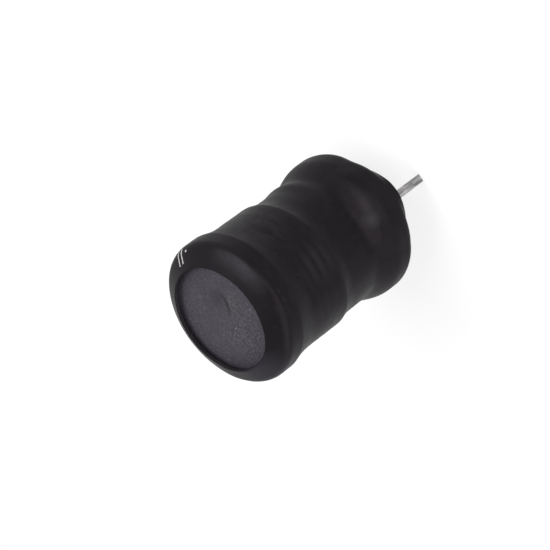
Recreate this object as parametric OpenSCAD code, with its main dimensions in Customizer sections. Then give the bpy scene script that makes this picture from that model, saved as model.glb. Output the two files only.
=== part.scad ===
// Drum core inductor: a ferrite drum, one enamelled wire wound on it and a
// heat-shrink sleeve over both. Millimetres.
// The drum's axis is Z and the leads point down, one on each side along X.
// The sleeve's lower lip touches the board at z = 0.

/* [Ferrite core] */
// Diameter of both flanges
core_d = 13.6; // [13.2:0.1:15]
// Height over both flanges
core_h = 18.5; // [16.5:0.1:22]
// Thickness of each flange
flange_t = 2.2; // [1.9:0.1:2.6]
// Diameter of the post between the flanges
post_d = 6.1; // [5.5:0.1:6.3]
// Bevel of a flange's outer edge, measured along the face
bevel_r = 0.95; // [0.8:0.05:1.1]
// Bevel of a flange's outer edge, measured along the rim
bevel_h = 0.85; // [0.75:0.05:1]
// Bevel of a flange's edge on the winding's side
inner_bevel = 0.25; // [0.2:0.05:0.35]

/* [Winding] */
// Diameter of the wire over its enamel
wire_d = 0.77; // [0.7:0.01:0.79]
// Full layers, an odd number, so that the outer layer starts at the top
full_layers = 3; // [1:2:3]
// Space between neighbouring turns of a full layer
turn_gap = 0.06; // [0.04:0.01:0.12]
// Turns of the partial outer layer, counted to the finish lead
outer_turns = 5; // [4:1:6]
// Height that the outer layer drops in one turn
outer_pitch = 1.235; // [1.1:0.005:1.35]
// Bend radius where the start wire turns onto the flange
start_bend = 0.7; // [0.65:0.01:0.75]
// Bend radius where the outer layer turns towards the finish lead
finish_bend = 1.1; // [0.95:0.05:1.3]

/* [Leads] */
// Diameter of the tinned lead
lead_d = 0.8; // [0.8:0.01:0.9]
// Length of a lead below the board's surface
lead_l = 3.1; // [2.5:0.05:15]
// Radius of the round notch in the rim that holds a lead
notch_r = 0.6; // [0.58:0.01:0.66]
// Height over which the finish wire climbs onto the flange's rim
lead_climb = 2.6; // [2.2:0.1:3]

/* [Sleeve] */
// Wall of the shrunk sleeve
sleeve_wall = 0.35; // [0.28:0.01:0.42]
// Diameter of the opening that shows the ferrite face
lip_d = 10.6; // [10:0.1:11]
// Slope of the lip, measured from the ferrite face
lip_angle = 31; // [27:1:35]
// How far the sleeve sinks behind the outer layer
neck_drop = 0.34; // [0.2:0.01:0.36]
// Half of the width of the fold over a lead, in degrees
fold_width = 10.5; // [9:0.5:13]
// How far the lip is pulled back where a fold holds it open
fold_pull = 0.85; // [0.5:0.05:0.95]
// Angle by which the fold over the finish lead lies to one side of it
fold_turn = 5; // [0:0.5:6]

/* [Fits] */
// Space between one turn or layer and the next
wire_fit = 0.02; // [0.015:0.005:0.03]
// Space between the sleeve and what it covers
sleeve_fit = 0.045; // [0.04:0.005:0.06]

/* [Hidden] */
// Angle between two rings of the wire's mesh
ring_step = 360 / 14;
// Sides of the wire's mesh
wire_sides = 6;
// Angle between two columns of the sleeve's mesh
column_step = 360 / 50;
// Angle that the wire takes to climb from one layer to the next
climb_angle = 3 * ring_step;
// Angle that the start wire takes from the rim down to the post
spiral_angle = 140;
wire_r = wire_d / 2;
core_r = core_d / 2;
lead_x = core_r;
// The tin thins out towards the wire where the lead enters the sleeve
taper_low = lead_d - (lead_d - wire_d) / 6;
taper_high = (lead_d + wire_d) / 2;
// The notch's centre, so that the lead lies on the notch's floor
notch_x = lead_x - lead_d / 2 - wire_fit + notch_r;

// The lip's upper edge, above the ferrite face
lip_r = lip_d / 2;
gap = sleeve_fit + sleeve_wall;
lip_h = (sin(lip_angle) * (core_r - bevel_r - lip_r) + gap) / cos(lip_angle);
// The round shoulder between the lip's cone and the sleeve's side
shoulder_z = bevel_h + 0.1;
shoulder_r = gap + (cos(lip_angle) * shoulder_z - sin(lip_angle) * bevel_r) / (1 - sin(lip_angle));

// Heights of the core's faces
z_foot = lip_h;
z_face = z_foot + core_h;
z_low = z_foot + flange_t;
z_high = z_face - flange_t;

// Layers and turns
z_start = z_low + wire_r + wire_fit;
z_top = z_high - wire_r - wire_fit;
turns = floor((z_top - z_start) / (wire_d + turn_gap)) - 1;
pitch = (z_top - z_start) / (turns + 1);
z_bottom = z_start + pitch;
// Flat steps of the mesh cut inside the true circle, so the layers' radii allow for them
function layer_r(k) = (post_d / 2 + wire_r + wire_fit + k * (wire_d + wire_fit)) / cos(ring_step / 2);
outer_r = layer_r(full_layers);
a_bend = 180 + start_bend / lead_x * 180 / PI;
a_layers = a_bend + spiral_angle + 360;
a_outer = a_layers + full_layers * (360 * turns + climb_angle);
outer_angle = 360 * outer_turns - a_outer % 360 - finish_bend / outer_r * 180 / PI;
z_end = z_top - outer_pitch * outer_angle / 360;

// Radii of the sleeve's outside
side_r = core_r + gap;
bulge_r = outer_r + wire_r + gap;
neck_r = bulge_r - neck_drop;
fold_r = lead_x + lead_d / 2 + gap;

// A smooth step from 0 at a to 1 at b
function ease(x, a, b) = let (t = min(1, max(0, (x - a) / (b - a)))) t * t * (3 - 2 * t);
function unit(v) = v / norm(v);

// A stretch of wire as [radius, angle, height] points, without its first point
function stretch(r0, r1, a0, a1, z0, z1) =
    let (n = (a1 - a0) / ring_step)
    [for (k = [1:ceil(n - 0.2)]) let (i = min(k, n) > n - 0.2 ? n : k)
        [r0 + (r1 - r0) * ease(i, 0, n), a0 + i * ring_step, z0 + (z1 - z0) * i / n]];

// The start lead comes up over the rim and bends along the flange
function start_wire() = concat(
    [[lead_x, 180, z_foot - 0.3], [lead_x, 180, z_start - start_bend]],
    [for (t = [18:18:90]) [lead_x, 180 + (a_bend - 180) * (1 - cos(t)), z_start - start_bend * (1 - sin(t))]],
    [for (i = [1:6]) let (x = 1 - pow(1 - i / 6, 2))
        [lead_x + (layer_r(0) - lead_x) * x, a_bend + spiral_angle * i / 6, z_start]],
    stretch(layer_r(0), layer_r(0), a_bend + spiral_angle, a_layers, z_start, z_bottom)
);

// One full layer, up or down, and the climb to the layer above it
function full_layer(k) =
    let (
        up = k % 2 == 0,
        z0 = up ? z_bottom : z_top,
        z1 = up ? z_top : z_bottom,
        a0 = a_layers + k * (360 * turns + climb_angle),
        a1 = a0 + 360 * turns
    )
    concat(
        stretch(layer_r(k), layer_r(k), a0, a1, z0, z1),
        stretch(layer_r(k), layer_r(k + 1), a1, a1 + climb_angle, z1, z1)
    );

// The outer layer ends in a bend, and the wire goes down over the rim
function finish_wire() =
    let (
        a_end = a_outer + outer_angle,
        a_lead = 360 * ceil(a_end / 360),
        z_climb = z_low + lead_climb,
        z_rim = z_low + 0.2
    )
    concat(
        stretch(outer_r, outer_r, a_outer, a_end, z_top, z_end),
        [for (t = [18:18:90]) [outer_r, a_end + (a_lead - a_end) * sin(t), z_end - finish_bend * (1 - cos(t))]],
        [for (i = [0:6]) let (z = z_climb + (z_rim - z_climb) * i / 6)
            [outer_r + (lead_x - outer_r) * ease(i, 0, 6), a_lead, z]],
        [[lead_x, a_lead, z_foot - 0.3]]
    );

// A round wire along a list of [radius, angle, height] points
module wire_along(path) {
    n = len(path);
    pos = [for (p = path) [p[0] * cos(p[1]), p[0] * sin(p[1]), p[2]]];
    points = [for (i = [0:n - 1])
        let (
            t = unit(pos[min(i + 1, n - 1)] - pos[max(i - 1, 0)]),
            radial = [cos(path[i][1]), sin(path[i][1]), 0],
            u = unit(radial - (radial * t) * t),
            v = cross(t, u)
        )
        for (j = [0:wire_sides - 1])
            let (a = 360 * (j + 0.5) / wire_sides) pos[i] + wire_r * (cos(a) * u + sin(a) * v)];
    sides = [for (i = [0:n - 2], j = [0:wire_sides - 1])
        let (
            a = i * wire_sides + j,
            b = i * wire_sides + (j + 1) % wire_sides
        )
        each [[a, a + wire_sides, b], [b, a + wire_sides, b + wire_sides]]];
    first = [for (j = [0:wire_sides - 1]) j];
    last = [for (j = [wire_sides - 1:-1:0]) (n - 1) * wire_sides + j];
    polyhedron(points, concat(sides, [first, last]), convexity = 10);
}

// Where the outer layer's last turn lies, in mm below the ferrite face, going round
function last_turn(a) = z_face - z_end - outer_pitch * ((720 - a) % 360) / 360;

// The sleeve's outside radius at a depth below the ferrite face, without the folds
function round_r(d, a) =
    side_r
    - (side_r - bulge_r) * ease(d, flange_t - 0.4, flange_t + 2.4)
    - neck_drop * ease(d, last_turn(a) + 1.05, last_turn(a) + 2.75)
    + (side_r - neck_r) * ease(d, core_h - flange_t - 2.7, core_h - flange_t + 0.4);

// The outside radius of the folds over the finish wire and the start wire
function finish_r(d) =
    bulge_r + (fold_r - bulge_r) * ease(d, core_h - flange_t - lead_climb - 0.3, core_h - flange_t - 0.3);
function start_r(d) =
    neck_r + (fold_r - neck_r) * ease(d, core_h - flange_t - 3.2, core_h - flange_t - 1.1);

// A radius pulled out into a fold with straight flanks
function folded(r, top, a, width) =
    let (lean = top > r ? acos(r / top) : 0)
    r / cos(max(0, lean - max(0, a - width)));

// A point of the sleeve: inset is 0 outside and the wall inside
function sleeve_point(r, d, a, inset) =
    let (
        from_finish = abs((a - fold_turn + 540) % 360 - 180),
        from_start = abs(a - 180),
        deep = d > core_h / 2,
        f = deep ? folded(r, finish_r(d) - inset, from_finish, fold_width) : r,
        s = deep ? folded(r, start_r(d) - inset, from_start, fold_width) : r,
        q = max(f, s),
        pull = deep ? fold_pull * ease(d, core_h - 1.5, core_h + lip_h) * (q - r) / (fold_r - inset - r) : 0
    )
    [q * cos(a), q * sin(a), z_face - d + pull];

// One end of the sleeve as [radius, height above the ferrite face, inset at a fold], lip first
shoulder_mid = [side_r - shoulder_r, -shoulder_z];
lip_out = [sin(lip_angle), cos(lip_angle)];
lip_along = [cos(lip_angle), -sin(lip_angle)];
lip_tip = [lip_r, lip_h];
function end_point(p, inset) = [p[0], p[1], inset];
outer_end = concat(
    [
        end_point(lip_tip - 0.1 * lip_out, 0.1),
        end_point(lip_tip - 0.03 * lip_out + 0.03 * lip_along, 0.03),
        end_point(lip_tip + 0.12 * lip_along, 0)
    ],
    [for (i = [0:4]) let (a = (90 - lip_angle) * (1 - i / 4))
        end_point(shoulder_mid + shoulder_r * [cos(a), sin(a)], 0)]
);
inner_end = concat(
    [end_point(lip_tip - 1.2 * sleeve_wall * lip_out, sleeve_wall)],
    [for (i = [0:3]) let (a = (90 - lip_angle) * (1 - i / 3))
        end_point(shoulder_mid + (shoulder_r - sleeve_wall) * [cos(a), sin(a)], sleeve_wall)]
);

// Depths of the sleeve's rings between its two ends
side_d = concat(
    [for (i = [0:4]) flange_t - 0.4 + 2.8 * i / 4],
    [for (i = [1:6]) let (a = flange_t + 2.4, b = core_h - flange_t - 2.7) a + (b - a) * i / 6],
    [for (i = [1:6]) core_h - flange_t - 2.7 + 3.1 * i / 6]
);

// All rings of the sleeve at one angle: down the outside, then up the inside
function column(a) = concat(
    [for (p = outer_end) sleeve_point(p[0], -p[1], a, p[2])],
    [for (d = side_d) sleeve_point(round_r(d, a), d, a, 0)],
    [for (i = [len(outer_end) - 1:-1:0]) let (p = outer_end[i]) sleeve_point(p[0], core_h + p[1], a, p[2])],
    [for (p = inner_end) sleeve_point(p[0], core_h + p[1], a, p[2])],
    [for (i = [len(side_d) - 1:-1:0]) let (d = side_d[i])
        sleeve_point(round_r(d, a) - sleeve_wall, d, a, sleeve_wall)],
    [for (i = [len(inner_end) - 1:-1:0]) let (p = inner_end[i]) sleeve_point(p[0], -p[1], a, p[2])]
);

// The pressed and ground ferrite drum
module drum_core() {
    color([0.31, 0.30, 0.33])
        translate([0, 0, z_foot])
            difference() {
                rotate_extrude($fn = 96)
                    polygon([
                        [0, 0],
                        [core_r - bevel_r, 0],
                        [core_r, bevel_h],
                        [core_r, flange_t - inner_bevel],
                        [core_r - inner_bevel, flange_t],
                        [post_d / 2, flange_t],
                        [post_d / 2, core_h - flange_t],
                        [core_r - inner_bevel, core_h - flange_t],
                        [core_r, core_h - flange_t + inner_bevel],
                        [core_r, core_h - bevel_h],
                        [core_r - bevel_r, core_h],
                        [0, core_h]
                    ]);
                for (x = [-notch_x, notch_x])
                    translate([x, 0, -1]) cylinder(r = notch_r, h = flange_t + 2, $fn = 48);
            }
}

// One enamelled wire from lead to lead, with its two ends tinned
module winding() {
    color([0.62, 0.60, 0.57])
        union() {
            wire_along(concat(
                start_wire(),
                [for (k = [0:full_layers - 1]) each full_layer(k)],
                finish_wire()
            ));
            for (x = [-lead_x, lead_x]) {
                translate([x, 0, -lead_l]) cylinder(d = lead_d, h = lead_l, $fn = 48);
                translate([x, 0, -0.2]) cylinder(d1 = taper_low, d2 = taper_high, h = z_foot + 0.4, $fn = 48);
            }
        }
}

// The heat-shrink sleeve, rolled in over both flanges and tented over the leads
module shrink_sleeve() {
    columns = round(360 / column_step);
    rings = len(column(0));
    points = [for (c = [0:columns - 1]) each column(c * column_step)];
    faces = [for (c = [0:columns - 1], k = [0:rings - 1])
        let (
            a = c * rings + k,
            b = c * rings + (k + 1) % rings,
            e = ((c + 1) % columns) * rings
        )
        each [[a, e + k, b], [b, e + k, e + (k + 1) % rings]]];
    color([0.15, 0.14, 0.15]) polyhedron(points, faces, convexity = 10);
}

drum_core();
winding();
shrink_sleeve();
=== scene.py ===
import math

import bmesh
import bpy
from mathutils import Matrix, Vector, noise


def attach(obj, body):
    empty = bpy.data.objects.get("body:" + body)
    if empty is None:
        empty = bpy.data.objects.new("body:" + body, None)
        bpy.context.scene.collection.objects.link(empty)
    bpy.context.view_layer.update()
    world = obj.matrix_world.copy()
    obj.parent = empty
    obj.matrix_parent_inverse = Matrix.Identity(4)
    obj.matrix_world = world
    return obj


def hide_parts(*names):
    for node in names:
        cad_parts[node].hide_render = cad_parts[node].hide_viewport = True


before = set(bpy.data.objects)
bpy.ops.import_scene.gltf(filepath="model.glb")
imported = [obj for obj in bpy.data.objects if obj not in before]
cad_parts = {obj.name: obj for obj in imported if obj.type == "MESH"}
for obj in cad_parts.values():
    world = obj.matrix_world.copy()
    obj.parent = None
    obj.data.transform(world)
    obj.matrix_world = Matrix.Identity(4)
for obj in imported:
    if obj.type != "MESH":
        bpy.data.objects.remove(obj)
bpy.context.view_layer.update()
scene = bpy.context.scene


# Ferrite drum
# A pressed, sintered and ground drum of nickel-zinc ferrite with two flanges on a post.
# Only its flat ends show inside the sleeve's lips: matt, dark, slightly purple and pitted.
MM = 0.001
CORE_R = 6.8
CORE_H = 18.5
FLANGE_T = 2.2
BEVEL_R = 0.95
BEVEL_H = 0.85
LIP_R = 5.3
LIP_ANGLE = math.radians(31)
SLEEVE_WALL = 0.35
SLEEVE_FIT = 0.045
GAP = SLEEVE_FIT + SLEEVE_WALL
LIP_H = (math.sin(LIP_ANGLE) * (CORE_R - BEVEL_R - LIP_R) + GAP) / math.cos(LIP_ANGLE)
Z_FOOT = LIP_H
Z_FACE = Z_FOOT + CORE_H


def start_group(name, inputs, outputs):
    group = bpy.data.node_groups.new(name, "ShaderNodeTree")
    for direction, sockets in (("INPUT", inputs), ("OUTPUT", outputs)):
        for label, kind in sockets.items():
            group.interface.new_socket(label, in_out=direction, socket_type="NodeSocket" + kind)
    return group, group.nodes.new("NodeGroupInput").outputs, group.nodes.new("NodeGroupOutput").inputs


# Grains of one size, from none to full between two levels of noise
speckle, given, result = start_group(
    "speckle",
    {"Place": "Vector", "Scale": "Float", "Detail": "Float", "Low": "Float", "High": "Float"},
    {"Mask": "Float"},
)
cells = speckle.nodes.new("ShaderNodeTexNoise")
cells.inputs["Roughness"].default_value = 0.6
spread = speckle.nodes.new("ShaderNodeMapRange")
speckle.links.new(given["Place"], cells.inputs["Vector"])
speckle.links.new(given["Scale"], cells.inputs["Scale"])
speckle.links.new(given["Detail"], cells.inputs["Detail"])
speckle.links.new(cells.outputs["Fac"], spread.inputs["Value"])
speckle.links.new(given["Low"], spread.inputs["From Min"])
speckle.links.new(given["High"], spread.inputs["From Max"])
speckle.links.new(spread.outputs["Result"], result["Mask"])

# A soft spot around one place, full up to Inner and gone at Outer
spot, given, result = start_group(
    "spot",
    {"Place": "Vector", "Centre": "Vector", "Stretch": "Vector", "Inner": "Float", "Outer": "Float"},
    {"Mask": "Float"},
)
away = spot.nodes.new("ShaderNodeVectorMath")
away.operation = "SUBTRACT"
shaped = spot.nodes.new("ShaderNodeVectorMath")
shaped.operation = "MULTIPLY"
reach = spot.nodes.new("ShaderNodeVectorMath")
reach.operation = "LENGTH"
fade = spot.nodes.new("ShaderNodeMapRange")
spot.links.new(given["Place"], away.inputs[0])
spot.links.new(given["Centre"], away.inputs[1])
spot.links.new(away.outputs["Vector"], shaped.inputs[0])
spot.links.new(given["Stretch"], shaped.inputs[1])
spot.links.new(shaped.outputs["Vector"], reach.inputs[0])
spot.links.new(reach.outputs["Value"], fade.inputs["Value"])
spot.links.new(given["Outer"], fade.inputs["From Min"])
spot.links.new(given["Inner"], fade.inputs["From Max"])
spot.links.new(fade.outputs["Result"], result["Mask"])


def start_material(name):
    material = bpy.data.materials.new(name)
    material.use_nodes = True
    tree = material.node_tree
    place = tree.nodes.new("ShaderNodeTexCoord").outputs["Object"]
    return material, tree, tree.nodes["Principled BSDF"].inputs, place


def mask_of(tree, group, place, values):
    node = tree.nodes.new("ShaderNodeGroup")
    node.node_tree = group
    tree.links.new(place, node.inputs["Place"])
    for label, value in values.items():
        node.inputs[label].default_value = value
    return node.outputs["Mask"]


def speckles(tree, place, scale, detail, low, high):
    return mask_of(tree, speckle, place, {"Scale": scale, "Detail": detail, "Low": low, "High": high})


def spot_at(tree, place, centre, inner, outer, stretch=(1, 1, 1)):
    middle = tuple(c * MM for c in centre)
    values = {"Centre": middle, "Stretch": stretch, "Inner": inner * MM, "Outer": outer * MM}
    return mask_of(tree, spot, place, values)


def combine(tree, operation, first, second):
    node = tree.nodes.new("ShaderNodeMath")
    node.operation = operation
    for socket, value in zip(node.inputs, (first, second)):
        if isinstance(value, (int, float)):
            socket.default_value = value
        else:
            tree.links.new(value, socket)
    return node.outputs["Value"]


def blend(tree, mask, first, second):
    mix = tree.nodes.new("ShaderNodeMix")
    mix.data_type = "RGBA"
    tree.links.new(mask, mix.inputs["Factor"])
    for label, value in (("A", first), ("B", second)):
        socket = next(s for s in mix.inputs if s.name == label and s.type == "RGBA")
        if isinstance(value, tuple):
            socket.default_value = (*value, 1.0)
        else:
            tree.links.new(value, socket)
    return next(s for s in mix.outputs if s.type == "RGBA")


def spread_to(tree, mask, low, high):
    node = tree.nodes.new("ShaderNodeMapRange")
    node.inputs["To Min"].default_value = low
    node.inputs["To Max"].default_value = high
    tree.links.new(mask, node.inputs["Value"])
    return node.outputs["Result"]


def bump_from(tree, height, strength, distance):
    node = tree.nodes.new("ShaderNodeBump")
    node.inputs["Strength"].default_value = strength
    node.inputs["Distance"].default_value = distance * MM
    tree.links.new(height, node.inputs["Height"])
    return node.outputs["Normal"]


ferrite, tree, finish, place = start_material("ferrite")
grain = speckles(tree, place, 5200, 2, 0.36, 0.64)
cloud = speckles(tree, place, 620, 4, 0.36, 0.66)
body = blend(tree, grain, (0.046, 0.041, 0.052), (0.080, 0.073, 0.090))
coarse = speckles(tree, place, 3900, 2, 0.42, 0.60)
open_grain = blend(tree, coarse, (0.036, 0.032, 0.040), (0.108, 0.100, 0.118))
open_side = spot_at(tree, place, (1.6, -2.4, Z_FACE), 0.8, 4.6)
body = blend(tree, combine(tree, "MULTIPLY", open_side, 0.7), body, open_grain)
shade = combine(tree, "MULTIPLY", cloud, 0.45)
body = blend(tree, shade, body, (0.050, 0.045, 0.057))
smudge = spot_at(tree, place, (0.2, 1.6, Z_FACE), 0.2, 1.9)
smudge = combine(tree, "MULTIPLY", smudge, spread_to(tree, cloud, 0.4, 1.0))
body = blend(tree, smudge, body, (0.036, 0.032, 0.041))
rust = combine(tree, "MULTIPLY", coarse, spot_at(tree, place, (1.9, 0.7, Z_FACE), 0.4, 1.5))
body = blend(tree, combine(tree, "MULTIPLY", rust, 0.6), body, (0.100, 0.091, 0.088))
SCUFF_MID = (-1.6, 1.7, Z_FACE)
SCUFF_R = 3.0
outside = spot_at(tree, place, SCUFF_MID, SCUFF_R + 0.02, SCUFF_R + 0.20)
inside = spot_at(tree, place, SCUFF_MID, SCUFF_R - 0.35, SCUFF_R - 0.02)
scuff = combine(tree, "SUBTRACT", outside, inside)
scuff = combine(tree, "MULTIPLY", scuff, spot_at(tree, place, (1.3, 0.9, Z_FACE), 0.5, 1.4))
scuff = combine(tree, "MULTIPLY", scuff, spread_to(tree, grain, 1.0, 0.7))
body = blend(tree, scuff, body, (0.014, 0.012, 0.016))
crumbs = speckles(tree, place, 3600, 1, 0.75, 0.80)
for centre, width in (((2.2, 3.4, Z_FACE), 0.65), ((3.6, -0.5, Z_FACE), 0.5)):
    cluster = spot_at(tree, place, centre, 0.1, width)
    chips = speckles(tree, place, 4300, 3, 0.60, 0.67)
    crumbs = combine(tree, "MAXIMUM", crumbs, combine(tree, "MULTIPLY", cluster, chips))
body = blend(tree, crumbs, body, (0.24, 0.23, 0.26))
tree.links.new(body, finish["Base Color"])
finish["Roughness"].default_value = 0.65
finish["Specular IOR Level"].default_value = 0.15
tree.links.new(bump_from(tree, grain, 0.35, 0.02), finish["Normal"])
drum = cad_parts["drum_core"]
drum.data.materials.clear()
drum.data.materials.append(ferrite)


# Winding wire
# One enamelled copper wire: the start comes up over the lower flange, three full layers
# fill the post, a partial outer layer runs down from the top, and the end goes over the rim.
Z_LOW = Z_FOOT + FLANGE_T
Z_HIGH = Z_FACE - FLANGE_T
WIRE_R = 0.385
WIRE_FIT = 0.02
TURN_GAP = 0.06
POST_R = 3.05
FULL_LAYERS = 3
OUTER_TURNS = 5
OUTER_PITCH = 1.235
LEAD_X = CORE_R
START_BEND = 0.7
FINISH_BEND = 1.1
RING_STEP = 360 / 14
CLIMB_ANGLE = 3 * RING_STEP
SPIRAL_ANGLE = 140
LEAD_CLIMB = 2.6
Z_START = Z_LOW + WIRE_R + WIRE_FIT
Z_TOP = Z_HIGH - WIRE_R - WIRE_FIT
TURNS = math.floor((Z_TOP - Z_START) / (2 * WIRE_R + TURN_GAP)) - 1
Z_BOTTOM = Z_START + (Z_TOP - Z_START) / (TURNS + 1)
WIRE_STEP = 12
BEND_STEPS = 8
SPIRAL_STEPS = 14
RISE_STEPS = 12
WIRE_END = 0.2
RIM_GAP = 0.2


def ease(x, a, b):
    t = min(1.0, max(0.0, (x - a) / (b - a)))
    return t * t * (3 - 2 * t)


def layer_radius(k):
    flat = math.cos(math.radians(RING_STEP / 2))
    return (POST_R + WIRE_R + WIRE_FIT + k * (2 * WIRE_R + WIRE_FIT)) / flat


def stretch_of_wire(r0, r1, a0, a1, z0, z1):
    n = max(2, math.ceil((a1 - a0) / WIRE_STEP))
    return [
        (r0 + (r1 - r0) * ease(i, 0, n), a0 + (a1 - a0) * i / n, z0 + (z1 - z0) * i / n)
        for i in range(1, n + 1)
    ]


OUTER_R = layer_radius(FULL_LAYERS)
A_BEND = 180 + math.degrees(START_BEND / LEAD_X)
A_LAYERS = A_BEND + SPIRAL_ANGLE + 360
A_OUTER = A_LAYERS + FULL_LAYERS * (360 * TURNS + CLIMB_ANGLE)
OUTER_ANGLE = 360 * OUTER_TURNS - A_OUTER % 360 - math.degrees(FINISH_BEND / OUTER_R)
Z_END = Z_TOP - OUTER_PITCH * OUTER_ANGLE / 360

wire_path = [(LEAD_X, 180, Z_FOOT - WIRE_END), (LEAD_X, 180, Z_START - START_BEND)]
for step in range(1, BEND_STEPS + 1):
    t = math.radians(90 * step / BEND_STEPS)
    turned = 180 + (A_BEND - 180) * (1 - math.cos(t))
    wire_path.append((LEAD_X, turned, Z_START - START_BEND * (1 - math.sin(t))))
for step in range(1, SPIRAL_STEPS + 1):
    inward = 1 - (1 - step / SPIRAL_STEPS) ** 2
    radius = LEAD_X + (layer_radius(0) - LEAD_X) * inward
    wire_path.append((radius, A_BEND + SPIRAL_ANGLE * step / SPIRAL_STEPS, Z_START))
first = layer_radius(0)
wire_path += stretch_of_wire(first, first, A_BEND + SPIRAL_ANGLE, A_LAYERS, Z_START, Z_BOTTOM)
for k in range(FULL_LAYERS):
    z0, z1 = (Z_BOTTOM, Z_TOP) if k % 2 == 0 else (Z_TOP, Z_BOTTOM)
    a0 = A_LAYERS + k * (360 * TURNS + CLIMB_ANGLE)
    a1 = a0 + 360 * TURNS
    here, above = layer_radius(k), layer_radius(k + 1)
    wire_path += stretch_of_wire(here, here, a0, a1, z0, z1)
    wire_path += stretch_of_wire(here, above, a1, a1 + CLIMB_ANGLE, z1, z1)
A_END = A_OUTER + OUTER_ANGLE
A_LEAD = 360 * math.ceil(A_END / 360)
wire_path += stretch_of_wire(OUTER_R, OUTER_R, A_OUTER, A_END, Z_TOP, Z_END)
for step in range(1, BEND_STEPS + 1):
    t = math.radians(90 * step / BEND_STEPS)
    turned = A_END + (A_LEAD - A_END) * math.sin(t)
    wire_path.append((OUTER_R, turned, Z_END - FINISH_BEND * (1 - math.cos(t))))
for step in range(RISE_STEPS + 1):
    z = Z_LOW + LEAD_CLIMB + (RIM_GAP - LEAD_CLIMB) * step / RISE_STEPS
    wire_path.append((OUTER_R + (LEAD_X - OUTER_R) * ease(step, 0, RISE_STEPS), A_LEAD, z))
wire_path.append((LEAD_X, A_LEAD, Z_FOOT - WIRE_END))

wire_curve = bpy.data.curves.new("winding_wire", "CURVE")
wire_curve.dimensions = "3D"
wire_curve.bevel_depth = WIRE_R * MM
wire_curve.bevel_resolution = 2
wire_curve.use_fill_caps = True
spline = wire_curve.splines.new("POLY")
spline.points.add(len(wire_path) - 1)
for point, (r, a, z) in zip(spline.points, wire_path):
    turn = math.radians(a)
    point.co = (r * math.cos(turn) * MM, r * math.sin(turn) * MM, z * MM, 1)
shape = bpy.data.objects.new("wire_shape", wire_curve)
scene.collection.objects.link(shape)
made = shape.evaluated_get(bpy.context.evaluated_depsgraph_get())
wire_mesh = bpy.data.meshes.new_from_object(made)
bpy.data.objects.remove(shape)
wire = bpy.data.objects.new("winding_wire", wire_mesh)
scene.collection.objects.link(wire)
wire_mesh.shade_smooth()

enamel, tree, finish, place = start_material("copper_enamel")
streak = speckles(tree, place, 900, 3, 0.35, 0.65)
body = blend(tree, streak, (0.30, 0.075, 0.022), (0.42, 0.125, 0.040))
tree.links.new(body, finish["Base Color"])
finish["Metallic"].default_value = 0.8
finish["Roughness"].default_value = 0.28
finish["Coat Weight"].default_value = 0.6
wire_mesh.materials.clear()
wire_mesh.materials.append(enamel)
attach(wire, "root")
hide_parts("winding")


# Tinned leads
# The two ends of the same wire, stripped of enamel, dipped in solder and cut to length.
# The tin is dull grey with drawn streaks, and side cutters left a blunt chisel at each tip.
LEAD_R = 0.4
LEAD_L = 3.1
LEAD_TOP = 1.4
LEAD_RINGS = 45
LEAD_SIDES = 40
LEAD_WAVE = 0.006
CUT_SLOPE = 0.78
TIP_EDGE = 0.02

tin, tree, finish, place = start_material("tin")
flow = tree.nodes.new("ShaderNodeMapping")
flow.inputs["Scale"].default_value = (1.0, 1.0, 0.16)
tree.links.new(place, flow.inputs["Vector"])
drawn = speckles(tree, flow.outputs["Vector"], 2900, 3, 0.38, 0.62)
dull = speckles(tree, place, 1300, 4, 0.36, 0.66)
body = blend(tree, drawn, (0.16, 0.155, 0.16), (0.46, 0.45, 0.455))
body = blend(tree, combine(tree, "MULTIPLY", dull, 0.55), body, (0.15, 0.145, 0.15))
tree.links.new(body, finish["Base Color"])
finish["Metallic"].default_value = 1.0
tree.links.new(spread_to(tree, dull, 0.28, 0.48), finish["Roughness"])
tree.links.new(bump_from(tree, drawn, 0.4, 0.015), finish["Normal"])

for side, lead_name in ((1, "finish_lead"), (-1, "start_lead")):
    bm = bmesh.new()
    middle = Vector((side * LEAD_X * MM, 0, -LEAD_L * MM))
    rise = (LEAD_L + LEAD_TOP) * MM / LEAD_RINGS
    bmesh.ops.create_circle(bm, cap_ends=True, segments=LEAD_SIDES, radius=LEAD_R * MM,
                            matrix=Matrix.Translation(middle))
    cap = bm.faces[:]
    for ring in range(LEAD_RINGS):
        grown = bmesh.ops.extrude_face_region(bm, geom=cap)["geom"]
        cap = [g for g in grown if isinstance(g, bmesh.types.BMFace)]
        moved = [g for g in grown if isinstance(g, bmesh.types.BMVert)]
        bmesh.ops.translate(bm, verts=moved, vec=(0, 0, rise))
    for v in bm.verts:
        out = Vector((v.co.x - middle.x, v.co.y, 0)).normalized()
        wave = noise.noise(Vector((v.co.x, v.co.y, v.co.z * 0.5)) / (0.5 * MM))
        v.co += out * (LEAD_WAVE * wave * MM)
    for way in (1, -1):
        bmesh.ops.bisect_plane(bm, geom=bm.verts[:] + bm.edges[:] + bm.faces[:], dist=0.0005 * MM,
                               plane_co=middle, plane_no=(way * CUT_SLOPE, 0, -1), clear_outer=True)
        bmesh.ops.contextual_create(bm, geom=[e for e in bm.edges if e.is_boundary])
    cut = [e for e in bm.edges if e.calc_face_angle(0) > 0.6 and e.verts[0].co.z < middle.z + LEAD_R * MM]
    bmesh.ops.bevel(bm, geom=cut, offset=TIP_EDGE * MM, offset_type="OFFSET", affect="EDGES",
                    segments=2, profile=0.5, material=-1)
    bmesh.ops.recalc_face_normals(bm, faces=bm.faces)
    lead_mesh = bpy.data.meshes.new(lead_name)
    bm.to_mesh(lead_mesh)
    bm.free()
    lead_mesh.materials.append(tin)
    lead_mesh.shade_smooth()
    lead_mesh.set_sharp_from_angle(angle=math.radians(40))
    lead = bpy.data.objects.new(lead_name, lead_mesh)
    scene.collection.objects.link(lead)
    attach(lead, "root")


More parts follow.
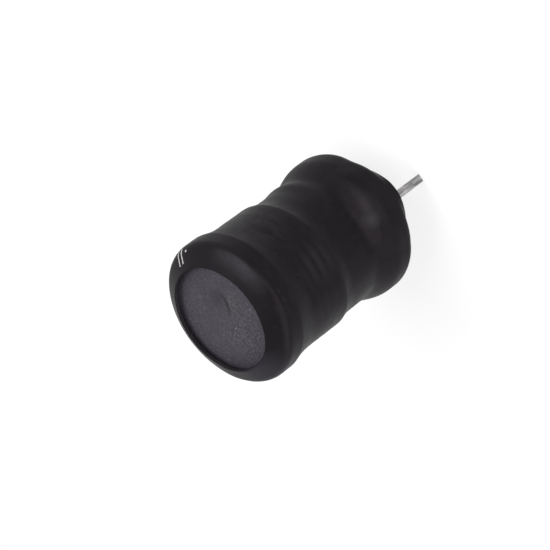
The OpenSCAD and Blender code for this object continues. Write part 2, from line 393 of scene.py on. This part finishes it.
# Heat-shrink sleeve
# One black tube shrunk over the drum and the winding. It rolls in over both flanges,
# sinks behind the outer layer, shows the turns as soft ridges and folds over the leads.
SIDE_R = CORE_R + GAP
BULGE_R = OUTER_R + WIRE_R + GAP
NECK_DROP = 0.34
NECK_R = BULGE_R - NECK_DROP
FOLD_R = LEAD_X + LEAD_R + GAP
FOLD_TURN = math.radians(5)
FOLD_FLAT = math.radians(6)
FOLD_REACH = math.radians(37)
FOLD_SOFT = 0.08
FOLD_POWER = 1.1
FOLD_PULL = 0.85
FOLD_SPARE = 0.1
FIRST_RISE = 0.8
SHOULDER_Z = BEVEL_H + 0.1
SHOULDER_LEAN = math.cos(LIP_ANGLE) * SHOULDER_Z - math.sin(LIP_ANGLE) * BEVEL_R
SHOULDER_R = GAP + SHOULDER_LEAN / (1 - math.sin(LIP_ANGLE))
Z_REAR = CORE_H - FLANGE_T
SLEEVE_STEPS = 288
TURN_MARKS = 1.12
COIL_END = 8.75
COIL_TILT = 0.25
COIL_SAG = 0.4
NECK_FULL = 0.19
NECK_FULL_D = 12.9
SHOULDER_CUTS = 12
SIDE_CUTS = 124
LIP_CUTS = 5


def stepped(x, a, b):
    t = min(1.0, max(0.0, (x - a) / (b - a)))
    return 1 - (1 - t) ** 2


def coil_end(turn):
    return COIL_END - COIL_TILT * math.sin(turn) + COIL_SAG * max(0.0, -math.sin(turn)) ** 3


def signed_degrees(turn):
    return (math.degrees(turn) + 180) % 360 - 180


def side_radius(d, turn):
    turned = signed_degrees(turn)
    last = coil_end(turn)
    crisp = 1 - math.exp(-(((turned + 16) / 26) ** 2))
    front = ease(d, FLANGE_T - 0.4, FLANGE_T + 2.4)
    front += crisp * (stepped(d, FLANGE_T + 0.1, FLANGE_T + 3.0) - front)
    neck = ease(d, last - 0.3, last + 1.4)
    neck += crisp * (stepped(d, last, last + 1.9) - neck)
    t = min(1.0, max(0.0, (d - 13.0 - 0.016 * turned) / 1.95))
    rear = ease(d, Z_REAR - 2.7, Z_REAR + 0.4)
    beside_lead = ease(turned, -34, -12) * (1 - ease(turned, 28, 52))
    rear += beside_lead * (t * t * (1.5 - 0.5 * t) - rear)
    full = NECK_FULL * max(0.0, math.sin(turn)) ** 3 * math.exp(-(((d - NECK_FULL_D) / 0.8) ** 2))
    return SIDE_R - (SIDE_R - BULGE_R) * front - NECK_DROP * neck + (SIDE_R - NECK_R) * rear + full


def turn_ridges(d, turn):
    last = coil_end(turn)
    over_turns = ease(d, FLANGE_T + 2.0, FLANGE_T + 3.2) * (1 - ease(d, last - 0.2, last + 0.3))
    near_side = math.exp(-(((signed_degrees(turn) + 3) / 15) ** 2))
    uneven = 1 + 0.6 * noise.noise(Vector((math.cos(turn) * 4, math.sin(turn) * 4, d / 1.7)))
    wave = math.cos(math.tau * (d - last + 0.56) / TURN_MARKS)
    return over_turns * uneven * wave * (0.003 + 0.042 * near_side)


def finish_top(d):
    second_rise = FOLD_R + FOLD_SPARE - NECK_R - FIRST_RISE
    return NECK_R + FIRST_RISE * ease(d, 13.0, 15.2) + second_rise * ease(d, 14.6, 16.4)


def start_top(d):
    return NECK_R + (FOLD_R - NECK_R) * ease(d, Z_REAR - 3.2, Z_REAR - 1.1)


def folded(past):
    t = (past - FOLD_FLAT) / FOLD_REACH
    return (1 - min(1.0, 0.5 * (t + math.hypot(t, FOLD_SOFT)))) ** FOLD_POWER


def between(a, b):
    return abs((a - b + math.pi) % math.tau - math.pi)


bm = bmesh.new()
mid = Vector((SIDE_R - SHOULDER_R, -SHOULDER_Z))
bends = [(math.pi / 2 - LIP_ANGLE) * (1 - i / SHOULDER_CUTS) for i in range(SHOULDER_CUTS + 1)]
end = [Vector((LIP_R, LIP_H))] + [mid + SHOULDER_R * Vector((math.cos(t), math.sin(t))) for t in bends]
outline = [(p.x, -p.y) for p in end] + [(p.x, CORE_H + p.y) for p in reversed(end)]
chain = [bm.verts.new((r * MM, 0, (Z_FACE - d) * MM)) for r, d in outline]
edges = [bm.edges.new(pair) for pair in zip(chain, chain[1:])]
bmesh.ops.subdivide_edges(bm, edges=[edges[len(end) - 1]], cuts=SIDE_CUTS)
bmesh.ops.subdivide_edges(bm, edges=[edges[0], edges[-1]], cuts=LIP_CUTS)
bmesh.ops.spin(bm, geom=bm.verts[:] + bm.edges[:], cent=(0, 0, 0), axis=(0, 0, 1), dvec=(0, 0, 0),
               angle=math.tau, steps=SLEEVE_STEPS, use_merge=True)
bmesh.ops.remove_doubles(bm, verts=bm.verts, dist=0.002 * MM)
bmesh.ops.recalc_face_normals(bm, faces=bm.faces)
CREASE_TURN = 44
CREASE_D = 16.2
CREASE_LEAN = 6
CREASE_DEPTH = 0.03
CREASE_WIDTH = 0.55
DENT_TURN = math.radians(44)
DENT_D = 18.35
DENT_DEPTH = 0.15
DENT_WIDTH = 0.17
DENT_LENGTH = 0.6
WAVE_DEPTH = 0.028
RIPPLE_DEPTH = 0.007
for v in bm.verts:
    turn = math.atan2(v.co.y, v.co.x) % math.tau
    d = Z_FACE - v.co.z / MM
    r = math.hypot(v.co.x, v.co.y) / MM
    if SHOULDER_Z < d < CORE_H - SHOULDER_Z:
        r = side_radius(d, turn) + turn_ridges(d, turn)
    plain = r
    deep = ease(d, CORE_H / 2 - 2, CORE_H / 2)
    over_finish = folded(between(turn, FOLD_TURN))
    over_start = folded(between(turn, math.pi))
    r += deep * over_finish * max(0.0, finish_top(d) - plain)
    r += deep * over_start * max(0.0, start_top(d) - plain)
    lifted = FOLD_PULL * ease(d, CORE_H - 1.5, CORE_H + LIP_H) * (over_finish + over_start)
    around = Vector((math.cos(turn), math.sin(turn), 0))
    r += WAVE_DEPTH * noise.noise(around * 3.1 + Vector((0, 0, d / 2.4)))
    r += RIPPLE_DEPTH * noise.noise(around * 9 + Vector((0, 0, d / 0.8)))
    off_crease = between(turn, math.radians(CREASE_TURN - CREASE_LEAN * (d - CREASE_D))) * SIDE_R
    crease_ends = ease(d, 15.6, 16.6) * (1 - ease(d, 17.2, 18.1))
    r -= CREASE_DEPTH * math.exp(-((off_crease / CREASE_WIDTH) ** 2)) * crease_ends
    off_dent = between(turn, DENT_TURN) / DENT_WIDTH
    r -= DENT_DEPTH * math.exp(-(off_dent ** 2) - ((d - DENT_D) / DENT_LENGTH) ** 2)
    v.co = around * (r * MM) + Vector((0, 0, (Z_FACE - d + lifted) * MM))
sleeve_mesh = bpy.data.meshes.new("sleeve")
bm.to_mesh(sleeve_mesh)
bm.free()
sleeve = bpy.data.objects.new("sleeve", sleeve_mesh)
scene.collection.objects.link(sleeve)
wall = sleeve.modifiers.new("wall", "SOLIDIFY")
wall.thickness = SLEEVE_WALL * MM
wall.offset = -1
edge = sleeve.modifiers.new("cut_edge", "BEVEL")
edge.width = 0.07 * MM
edge.segments = 3
edge.limit_method = "ANGLE"
edge.angle_limit = math.radians(50)
sleeve_mesh.shade_smooth()

tube, tree, finish, place = start_material("shrunk_tube")
peel = speckles(tree, place, 2600, 3, 0.3, 0.7)
haze = speckles(tree, place, 240, 5, 0.38, 0.68)
body = blend(tree, haze, (0.0056, 0.0046, 0.0058), (0.0086, 0.0073, 0.0088))
rub = speckles(tree, place, 1500, 5, 0.54, 0.70)
body = blend(tree, combine(tree, "MULTIPLY", rub, 0.4), body, (0.0125, 0.0110, 0.0127))
# Painted highlight: the lower part of the front shoulder is made paler
low_shoulder_highlight = spot_at(tree, place, (0.6, -6.3, Z_FACE), 1.0, 3.6)
body = blend(tree, combine(tree, "MULTIPLY", low_shoulder_highlight, 0.9), body, (0.0200, 0.0182, 0.0240))
streaky = tree.nodes.new("ShaderNodeMapping")
streaky.inputs["Scale"].default_value = (1.0, 1.0, 2.2)
tree.links.new(place, streaky.inputs["Vector"])
dusty = speckles(tree, streaky.outputs["Vector"], 620, 5, 0.46, 0.64)
dusty = combine(tree, "MULTIPLY", dusty, spot_at(tree, place, (4.2, 5.3, Z_FACE - 6.2), 1.6, 4.4))
body = blend(tree, combine(tree, "MULTIPLY", dusty, 0.7), body, (0.0165, 0.0148, 0.0168))
scratch = spot_at(tree, place, (7.1, -1.1, Z_FACE - 1.14), 0.2, 0.95, (0, 1, 8))
scratch = combine(tree, "MULTIPLY", scratch, speckles(tree, place, 2600, 2, 0.40, 0.60))
body = blend(tree, scratch, body, (0.034, 0.031, 0.035))

# Worn band on the front shoulder, also a painted highlight where the key box's reflection falls
band = combine(tree, "SUBTRACT", spot_at(tree, place, (0, 0, 0), 7.00, 7.10, (1, 1, 0)),
               spot_at(tree, place, (0, 0, 0), 5.75, 6.65, (1, 1, 0)))
wear_and_highlight = combine(tree, "MULTIPLY", band, spot_at(tree, place, (5.7, 3.2, Z_FACE - 0.1), 1.0, 3.4))
wear_and_highlight = combine(tree, "MULTIPLY", wear_and_highlight, spread_to(tree, speckles(tree, place, 1100, 6, 0.34, 0.64), 0.6, 1.0))
body = blend(tree, wear_and_highlight, body, (0.029, 0.027, 0.031))

# Painted highlight where the sleeve is drawn up over the lead, palest on the bump over the wire
tilted = tree.nodes.new("ShaderNodeMapping")
tilted.inputs["Rotation"].default_value = (0.205, 0, 0)
tree.links.new(place, tilted.inputs["Vector"])
lead_highlight = spot_at(tree, tilted.outputs["Vector"], (0, 0.10, 4.60), 0.05, 0.72, (0, 0.26, 1))
lead_highlight = combine(tree, "MULTIPLY", lead_highlight, 0.6)
lead_highlight_peak = spot_at(tree, place, (7.0, -0.3, 4.75), 0.1, 1.1)
lead_highlight = combine(tree, "MAXIMUM", lead_highlight, combine(tree, "MULTIPLY", lead_highlight_peak, 0.85))
body = blend(tree, lead_highlight, body, (0.026, 0.0235, 0.027))

# Painted highlights along the crests of the turns on the near side of the coil
turns = tree.nodes.new("ShaderNodeTexWave")
turns.bands_direction = "Z"
turns.inputs["Scale"].default_value = math.tau / 20 / (TURN_MARKS * MM)
turns.inputs["Phase Offset"].default_value = math.pi - math.tau * (Z_FACE - 8.11) / TURN_MARKS
tree.links.new(place, turns.inputs["Vector"])
near_turns = spot_at(tree, place, (6.75, -0.5, Z_FACE - 6.8), 0.6, 2.6)
crest_highlights = combine(tree, "MULTIPLY", turns.outputs["Fac"], near_turns)
body = blend(tree, combine(tree, "MULTIPLY", crest_highlights, 0.8), body, (0.016, 0.0145, 0.0165))

# Mottled rub marks left on the outer layer
marks = speckles(tree, place, 4400, 2, 0.41, 0.56)
rubbed = None
for centre, width in (((6.46, 2.1, 15.2), 0.95), ((6.8, -0.5, 15.4), 0.75)):
    patch = spot_at(tree, place, centre, 0.2, width)
    rubbed = patch if rubbed is None else combine(tree, "MAXIMUM", rubbed, patch)
marks = combine(tree, "MULTIPLY", marks, rubbed)
body = blend(tree, combine(tree, "MULTIPLY", rubbed, 0.6), body, (0.0130, 0.0115, 0.0132))
body = blend(tree, combine(tree, "MULTIPLY", marks, 0.95), body, (0.0012, 0.0010, 0.0012))

# White ink: two plain bars and a dot over the front shoulder
INK_TURN = math.radians(97)
about = tree.nodes.new("ShaderNodeMapping")
about.inputs["Rotation"].default_value = (0, 0, -INK_TURN)
tree.links.new(place, about.inputs["Vector"])
apart = tree.nodes.new("ShaderNodeSeparateXYZ")
tree.links.new(about.outputs["Vector"], apart.inputs["Vector"])


def stroke(tree, coordinate, middle, half, soft):
    off = combine(tree, "ABSOLUTE", combine(tree, "SUBTRACT", coordinate, middle * MM), 0)
    node = tree.nodes.new("ShaderNodeMapRange")
    node.inputs["From Min"].default_value = (half + soft) * MM
    node.inputs["From Max"].default_value = (half - soft) * MM
    tree.links.new(off, node.inputs["Value"])
    return node.outputs["Result"]


ink = spot_at(tree, about.outputs["Vector"], (6.8, -1.15, Z_FACE - 0.05), 0.15, 0.19)
for across in (-0.35, 0.25):
    bar = combine(tree, "MULTIPLY", stroke(tree, apart.outputs["Y"], across, 0.08, 0.02),
                  stroke(tree, apart.outputs["Z"], Z_FACE - 0.05, 0.48, 0.03))
    ink = combine(tree, "MAXIMUM", ink, bar)
outward = combine(tree, "GREATER_THAN", apart.outputs["X"], (CORE_R - BEVEL_R + 2 * SLEEVE_FIT) * MM)
ink = combine(tree, "MULTIPLY", ink, outward)
worn = speckles(tree, place, 4200, 2, 0.30, 0.42)
ink = combine(tree, "MULTIPLY", ink, worn)
body = blend(tree, ink, body, (0.62, 0.61, 0.60))
tree.links.new(body, finish["Base Color"])
tree.links.new(spread_to(tree, haze, 0.40, 0.50), finish["Roughness"])
finish["Specular IOR Level"].default_value = 0.075
finish["Specular Tint"].default_value = (1.0, 0.89, 1.0, 1.0)
height = combine(tree, "ADD", peel, combine(tree, "MULTIPLY", marks, 2.0))
tree.links.new(bump_from(tree, height, 0.25, 0.02), finish["Normal"])
sleeve_mesh.materials.append(tube)
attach(sleeve, "root")
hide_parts("shrink_sleeve")


# Floor and studio light
# A white sweep under the lead tips and a soft sky, with a large box above the drum, a low
# strip behind the camera, a strip on its left and a weak box on its right.
FLOOR_SIZE = 2.0
FLOOR_TONE = 0.32
FLOOR_GLOW = 0.72
SKY = 0.3

bm = bmesh.new()
bmesh.ops.create_grid(bm, x_segments=1, y_segments=1, size=FLOOR_SIZE,
                      matrix=Matrix.Translation((0, 0, -LEAD_L * MM)))
floor_mesh = bpy.data.meshes.new("floor")
bm.to_mesh(floor_mesh)
bm.free()
floor = bpy.data.objects.new("floor", floor_mesh)
scene.collection.objects.link(floor)
paper = bpy.data.materials.new("white_sweep")
paper.use_nodes = True
tree = paper.node_tree
tree.nodes.clear()


def seen_directly(tree):
    path = tree.nodes.new("ShaderNodeLightPath").outputs
    seen = combine(tree, "MAXIMUM", path["Is Camera Ray"], path["Is Glossy Ray"])
    return combine(tree, "MAXIMUM", seen, path["Is Transmission Ray"])


matt = tree.nodes.new("ShaderNodeBsdfDiffuse")
matt.inputs["Color"].default_value = (FLOOR_TONE, FLOOR_TONE, FLOOR_TONE, 1)
glow = tree.nodes.new("ShaderNodeEmission")
tree.links.new(combine(tree, "MULTIPLY", seen_directly(tree), FLOOR_GLOW), glow.inputs["Strength"])
both = tree.nodes.new("ShaderNodeAddShader")
tree.links.new(matt.outputs["BSDF"], both.inputs[0])
tree.links.new(glow.outputs["Emission"], both.inputs[1])
output = tree.nodes.new("ShaderNodeOutputMaterial")
tree.links.new(both.outputs["Shader"], output.inputs["Surface"])
floor_mesh.materials.append(paper)

world = bpy.data.worlds.new("soft_sky")
scene.world = world
world.use_nodes = True
tree = world.node_tree
sky = tree.nodes["Background"].inputs
sky["Color"].default_value = (1, 1, 1, 1)
seen = combine(tree, "MULTIPLY", seen_directly(tree), 1 - SKY)
tree.links.new(combine(tree, "ADD", seen, SKY), sky["Strength"])


def soft_box(name, direction, along, distance, sizes, power):
    lamp = bpy.data.lights.new(name, "AREA")
    lamp.shape = "RECTANGLE"
    lamp.size = sizes[0]
    lamp.size_y = sizes[1]
    lamp.energy = power
    box = bpy.data.objects.new(name, lamp)
    scene.collection.objects.link(box)
    aim = Vector(direction).normalized()
    side = aim.cross(Vector(along)).normalized()
    axes = Matrix((side.cross(aim), side, aim)).transposed()
    box.matrix_world = Matrix.Translation(Vector((0, 0, 0.010)) + aim * distance) @ axes.to_4x4()
    box.visible_camera = False


soft_box("key_box", (0.15, 0.5, 0.8), (0.53, -0.76, 0.42), 0.30, (0.30, 0.26), 0.68)
soft_box("low_strip", (0.98, -0.1, 0.16), (0, 1, 0), 0.30, (0.42, 0.08), 0.60)
soft_box("side_strip", (0.5, 0.85, 0.2), (0.85, -0.5, 0), 0.30, (0.30, 0.08), 0.25)
soft_box("fill_box", (0.35, -0.85, 0.38), (1, 0.4, 0), 0.30, (0.30, 0.22), 0.60)


# Camera
# Solved from the photograph's outline: a long lens a quarter of a metre away, rolled
# so that the drum's axis runs from lower left to upper right.
PHOTO_SIZE = 550
SENSOR = 36
PIXEL = 0.0896
FACE_RIGHT = 49.94
FACE_UP = 40.84
VIEW_DISTANCE = 2927
NEAR_ANGLE = math.radians(5.0)
near = Vector((math.cos(NEAR_ANGLE), math.sin(NEAR_ANGLE), 0))
across = Vector((math.sin(NEAR_ANGLE), -math.cos(NEAR_ANGLE), 0))
up_axis = Vector((0, 0, 1))
back = (0.798 * near + 0.6026 * up_axis).normalized()
right = (-0.639 * up_axis + 0.4825 * near + 0.598 * across).normalized()
up = back.cross(right)
face = Vector((0, 0, Z_FACE))
eye = face + PIXEL * (FACE_RIGHT * right + FACE_UP * up + VIEW_DISTANCE * back)
lens = bpy.data.cameras.new("camera")
lens.sensor_width = SENSOR
lens.lens = SENSOR * VIEW_DISTANCE / PHOTO_SIZE
lens.clip_start = 0.01
lens.clip_end = 10
camera = bpy.data.objects.new("camera", lens)
scene.collection.objects.link(camera)
camera.matrix_world = Matrix.Translation(eye * MM) @ Matrix((right, up, back)).transposed().to_4x4()
scene.camera = camera
scene.view_settings.view_transform = "Standard"
